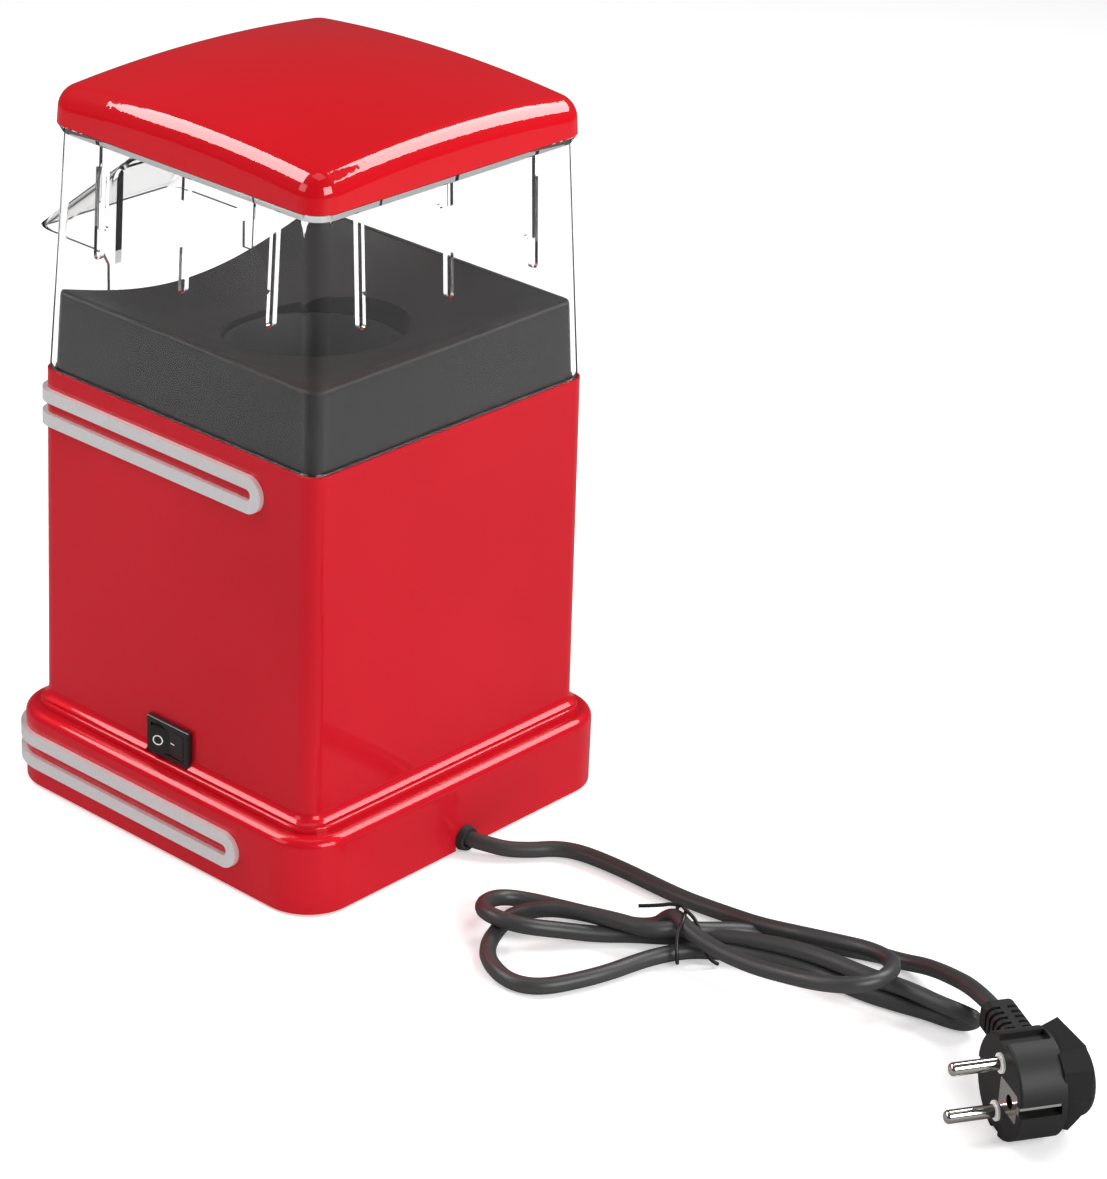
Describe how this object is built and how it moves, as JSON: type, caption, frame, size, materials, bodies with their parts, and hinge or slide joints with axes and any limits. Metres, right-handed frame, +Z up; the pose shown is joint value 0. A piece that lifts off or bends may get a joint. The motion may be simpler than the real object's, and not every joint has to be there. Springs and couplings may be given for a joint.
{
  "type": "popcorn maker",
  "caption": "Hot-air popcorn maker: square gloss body on a wider plinth with two silver bands, clear lift-off hood with a sloping chute, lift-off lid, rocker switch and corded plug.",
  "frame": {"origin": "on the table, under the middle of the appliance's bounding box without its lead", "axes": "+Z up, -Y towards the chute, +X towards the side with the switch"},
  "size_m": [0.172, 0.4877, 0.2888],
  "materials": {
    "red_gloss": "high-gloss dark red, metallic look",
    "red_gloss_lid": "high-gloss bright red",
    "black_plastic": "moulded black",
    "deck_plastic": "satin dark grey, heat resistant",
    "black_rubber": "soft black",
    "steel": "plain steel",
    "silver_trim": "silver metallised",
    "switch_black": "gloss black",
    "brass": "bare brass",
    "chamber_aluminium": "spun aluminium",
    "mica": "mica board",
    "ceramic_white": "white ceramic",
    "circuit_board": "phenolic board",
    "clear_plastic": "crystal clear",
    "cord_black": "satin black flexible sheath",
    "tie_black": "plastic coated wire",
    "plug_black": "satin black moulding",
    "nickel": "nickel plated",
    "collar_white": "white collars"
  },
  "bodies": {
    "base_unit": {"plinth": "red_gloss", "bottom_cover": "black_plastic", "rubber_feet": "black_rubber", "cover_screws": "steel", "body_shell": "red_gloss", "body_trim": "silver_trim", "plinth_trim": "silver_trim", "switch_housing": "switch_black", "switch_terminals": "brass", "popping_deck": "deck_plastic", "deck_screws": "steel", "popping_chamber": "chamber_aluminium", "chamber_screws": "steel", "air_duct": "steel", "heater_former": "mica", "heater_coil": "steel", "fan_casing": "black_plastic", "motor_can": "steel", "motor_screws": "steel", "rectifier_board": "circuit_board", "rectifier_diodes": "black_plastic", "thermostat": "ceramic_white", "thermal_fuse": "ceramic_white", "cord_grommet": "black_rubber", "cord_clamp": "black_plastic", "clamp_screws": "steel", "cord_lead": "cord_black", "cord_hank": "cord_black", "cord_tail": "cord_black", "twist_tie": "tie_black", "plug_body": "plug_black", "plug_pins": "nickel", "pin_collars": "collar_white", "plug_earth": "nickel"},
    "hood": {"clear_hood": "clear_plastic"},
    "lid": {"top_lid": "red_gloss_lid"},
    "rocker": {"switch_rocker": "switch_black"},
    "fan": {"fan_impeller": "black_plastic", "motor_shaft": "steel"}
  },
  "joints": [
    {"name": "hood_lift", "type": "slide", "parent": "base_unit", "child": "hood", "axis": [0, 0, 1], "range_m": [0, 0.12]},
    {"name": "lid_lift", "type": "slide", "parent": "hood", "child": "lid", "axis": [0, 0, 1], "range_m": [0, 0.06]},
    {"name": "switch_rock", "type": "hinge", "parent": "base_unit", "child": "rocker", "pos_m": [0.0715, 0.016, 0.0418], "axis": [0, 0, -1], "range_deg": [0, 18]},
    {"name": "fan_spin", "type": "hinge", "parent": "base_unit", "child": "fan", "pos_m": [0, 0.016, 0.075], "axis": [0, 0, 1], "continuous": true}
  ]
}
